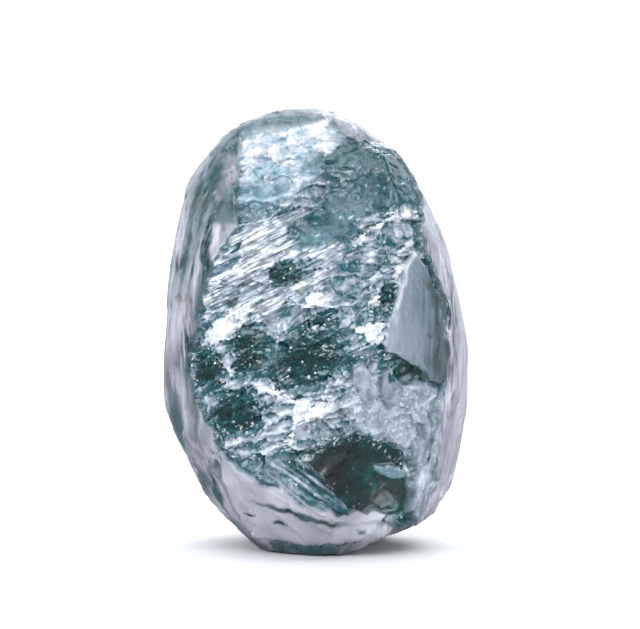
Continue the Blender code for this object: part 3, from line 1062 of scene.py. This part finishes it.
place = nodes.new("ShaderNodeTexCoord").outputs["Object"]
along_layers = mapped(place, rotation=(0, math.radians(LAYER_SLOPE), 0))
squeezed = mapped(along_layers, scale=(1, 1, STREAK_SQUEEZE))
streaks = texture(squeezed, per_metre=2200, detail=2, roughness=0.5)
stretched = mapped(place, scale=(1, 1, FIBRE_STRETCH))
upright_fibres = texture(stretched, per_metre=14000, detail=3, roughness=0.6)
sugar = texture(place, per_metre=15000, detail=2, roughness=0.5)
clouding = texture(place, per_metre=5000, detail=3, roughness=0.6)
streaked_share = attribute_of("streaked")
fibrous_share = attribute_of("fibrous")

sugar_shade = times(ranged(sugar, *SUGAR_SHADE), ranged(clouding, *CLOUDING_SHADE))
shade = shaded(attribute_of("sugary"), sugar_shade)
shade = times(shade, shaded(streaked_share, ranged(streaks, *STREAK_SHADE)))
shade = times(shade, shaded(fibrous_share, ranged(upright_fibres, *FIBRE_SHADE)))
tinted = blended(stone.node_tree, 1.0, attribute_of("tint", "Color"), shade, blend_type="MULTIPLY")

# %% Roughness and bump
SUGAR_ROUGHNESS = (0.3, 0.7, 0.9, 1.1)
GRAIN_HEIGHT = 0.03 * MM
SUGAR_BUMP = 0.3
FIBRE_BUMP = 0.3

dull = attribute_of("dullness")
feed(shader.inputs["Roughness"], times(dull, ranged(sugar, *SUGAR_ROUGHNESS)))
bump = nodes.new("ShaderNodeBump")
bump.inputs["Distance"].default_value = GRAIN_HEIGHT
grains = times(sugar, times(dull, SUGAR_BUMP))
lines = times(streaks, streaked_share)
combed = times(upright_fibres, times(fibrous_share, FIBRE_BUMP))
feed(bump.inputs["Height"], calculated("ADD", calculated("ADD", grains, lines), combed))
feed(shader.inputs["Normal"], bump.outputs[0])

# %% [markdown]
# ## Painted sparkles, and the depth of colour
#
# White dots of painted sparkle, painted glints, lie on the rough break. They are the middles of
# a few cells of a Voronoi pattern, and no light gets through them. The volume's absorption makes
# thick places deeper in colour than thin ones.

# %% Scatter the painted sparkles, and let the stone absorb light
CRUMBS_PER_METRE = 9000
CRUMB_EDGE = (0.14, 0.26, 1, 0)
CRUMB_CHANCE = 0.78
ABSORBED = (0.0, 0.60, 0.64, 1)
ABSORPTION = 700

crumbs = nodes.new("ShaderNodeTexVoronoi")
feed(crumbs.inputs["Vector"], place)
feed(crumbs.inputs["Scale"], CRUMBS_PER_METRE)
crumb_colour = nodes.new("ShaderNodeSeparateColor")
feed(crumb_colour.inputs["Color"], crumbs.outputs["Color"])
chosen_crumb = calculated("GREATER_THAN", crumb_colour.outputs[0], CRUMB_CHANCE)
# The painted sparkle: white dots painted into the tint as glints.
crumb = times(ranged(crumbs.outputs["Distance"], *CRUMB_EDGE), chosen_crumb)
crumb = times(crumb, attribute_of("crumbly"))
feed(shader.inputs["Base Color"], blended(stone.node_tree, crumb, tinted, (*WHITE, 1)))
opened = times(attribute_of("clearness"), calculated("SUBTRACT", 1.0, crumb))
feed(shader.inputs["Transmission Weight"], opened)

absorption = nodes.new("ShaderNodeVolumeAbsorption")
absorption.inputs["Color"].default_value = ABSORBED
absorption.inputs["Density"].default_value = ABSORPTION
feed(nodes["Material Output"].inputs["Volume"], absorption.outputs[0])
print("nodes in the material", len(nodes))

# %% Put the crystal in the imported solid's place
crystal.data.materials.clear()
crystal.data.materials.append(stone)
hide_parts("rough_diamond")
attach(crystal, "root")

# %% [markdown]
# ## Floor and light
#
# The stone stands on a plain white floor in a white tent, as small stones are photographed. A
# tent that is equally bright everywhere would leave a clear stone flat and grey, so bright
# panels are spread round it, with dimmer cloth between them. The facets then show either
# a panel or the dim cloth, and sparkle. The panels are painted on the world, which is far away,
# so the floor is lit evenly, and the background behind the stone stays plain white. Each panel
# has two brightnesses, one for the light that it sheds and a lower one for its reflection in
# the stone, because a long exposure would burn the reflections out.

# %% Make the floor
FLOOR_SIZE = 2.0
FLOOR_WHITE = (0.80, 0.80, 0.80, 1)
FLOOR_IN_STONE = (0.07, 0.075, 0.08, 1)
FLOOR_ROUGHNESS = 0.8

bpy.ops.mesh.primitive_plane_add(size=FLOOR_SIZE, location=(0, 0, 0))
floor = bpy.context.object
floor.name = "floor"
floor_finish = bpy.data.materials.new("white_floor")
floor_finish.use_nodes = True
floor_tree = floor_finish.node_tree
floor_shader = floor_tree.nodes["Principled BSDF"]
floor_rays = floor_tree.nodes.new("ShaderNodeLightPath").outputs
seen_plainly = floor_tree.nodes.new("ShaderNodeMath")
seen_plainly.operation = "MAXIMUM"
feed(seen_plainly.inputs[0], floor_rays["Is Camera Ray"])
feed(seen_plainly.inputs[1], floor_rays["Is Diffuse Ray"])
floor_colour = blended(floor_tree, seen_plainly.outputs[0], FLOOR_IN_STONE, FLOOR_WHITE)
feed(floor_shader.inputs["Base Color"], floor_colour)
floor_shader.inputs["Roughness"].default_value = FLOOR_ROUGHNESS
floor_shader.inputs["Specular IOR Level"].default_value = 0.0
floor.data.materials.append(floor_finish)
print("floor", FLOOR_SIZE, "m wide")

# %% Light the tent with panels
CLOTH_LIGHT = 0.16
CLOTH_IN_STONE = 0.055
BACKGROUND_LIGHT = 1.0
BACKGROUND_WHITE = (1, 1, 1, 1)
TENT_TINT = (0.97, 0.99, 1.02, 1)
TINT_IN_STONE = (0.86, 0.95, 1.03, 1)

# Panels as (direction, half angle in degrees, light shed, brightness as the stone reflects it).
PANELS = [
    ((0.0, 0.30, 1.0), 36, 3.0, 0.90),
    ((-0.80, -0.50, 0.45), 17, 6.5, 1.80),
    ((0.72, -0.70, 0.20), 13, 5.5, 1.50),
    ((0.20, -0.80, 0.75), 10, 6.0, 1.70),
    ((-0.30, -0.95, -0.05), 7, 3.0, 1.00),
    ((0.0, 1.0, 0.15), 50, 0.5, 0.50),
    ((-0.50, 0.85, 0.30), 22, 1.2, 0.80),
    ((0.30, 0.90, 0.35), 24, 1.2, 0.75),
]
PANEL_EDGE = 5

world = bpy.data.worlds.new("tent")
bpy.context.scene.world = world
world.use_nodes = True
tent = world.node_tree
looking = tent.nodes.new("ShaderNodeTexCoord").outputs["Generated"]


def panel(direction, half_angle):
    """The share, from 0 to 1, of one round panel in the direction that is looked in."""
    facing = tent.nodes.new("ShaderNodeVectorMath")
    facing.operation = "DOT_PRODUCT"
    feed(facing.inputs[0], looking)
    feed(facing.inputs[1], Vector(direction).normalized())
    glow = tent.nodes.new("ShaderNodeMapRange")
    glow.interpolation_type = "SMOOTHSTEP"
    feed(glow.inputs["Value"], facing.outputs["Value"])
    feed(glow.inputs["From Min"], math.cos(math.radians(half_angle + PANEL_EDGE)))
    feed(glow.inputs["From Max"], math.cos(math.radians(half_angle)))
    return glow.outputs[0]


def added(total, share, brightness):
    """The light so far, a number or a socket, with the share of one panel's light added."""
    node = tent.nodes.new("ShaderNodeMath")
    node.operation = "MULTIPLY_ADD"
    for socket, value in zip(node.inputs, (share, brightness, total)):
        feed(socket, value)
    return node.outputs[0]


shed, reflected = CLOTH_LIGHT, CLOTH_IN_STONE
for direction, half_angle, light_shed, brightness in PANELS:
    share = panel(direction, half_angle)
    shed = added(shed, share, light_shed)
    reflected = added(reflected, share, brightness)
rays = tent.nodes.new("ShaderNodeLightPath").outputs
by_ray = blended(tent, rays["Is Diffuse Ray"], reflected, shed, data_type="FLOAT")
strength = blended(tent, rays["Is Camera Ray"], by_ray, BACKGROUND_LIGHT, data_type="FLOAT")
feed(tent.nodes["Background"].inputs["Strength"], strength)
tint_by_ray = blended(tent, rays["Is Diffuse Ray"], TINT_IN_STONE, TENT_TINT)
seen_tint = blended(tent, rays["Is Camera Ray"], tint_by_ray, BACKGROUND_WHITE)
feed(tent.nodes["Background"].inputs["Color"], seen_tint)
print("panels", len(PANELS))

# %% Hang the small lamps that make the stone glint
STONE_MIDDLE = Vector((0, 0, 0.004))
GLINT_SIZE = 0.010
GLINT_RADIANCE = 16
LAMP_TINT = (0.84, 0.93, 1.0)
GLINTS = {
    "left_glint": (-0.035, -0.06, 0.05),
    "right_glint": (0.03, -0.07, 0.02),
    "back_glint": (0.02, 0.07, 0.05),
}


def glint_lamp(name, place, radiance):
    """A small bright lamp that faces the stone. Its power follows from its brightness."""
    light = bpy.data.lights.new(name, "AREA")
    light.size = GLINT_SIZE
    light.energy = radiance * math.pi * GLINT_SIZE**2
    light.color = LAMP_TINT
    lamp = bpy.data.objects.new(name, light)
    bpy.context.scene.collection.objects.link(lamp)
    lamp.location = place
    lamp.rotation_euler = (STONE_MIDDLE - Vector(place)).to_track_quat("-Z", "Y").to_euler()


for name, lamp_place in GLINTS.items():
    glint_lamp(name, lamp_place, GLINT_RADIANCE)
bpy.context.scene.view_settings.view_transform = "Standard"
print("glint lamps", len(GLINTS))
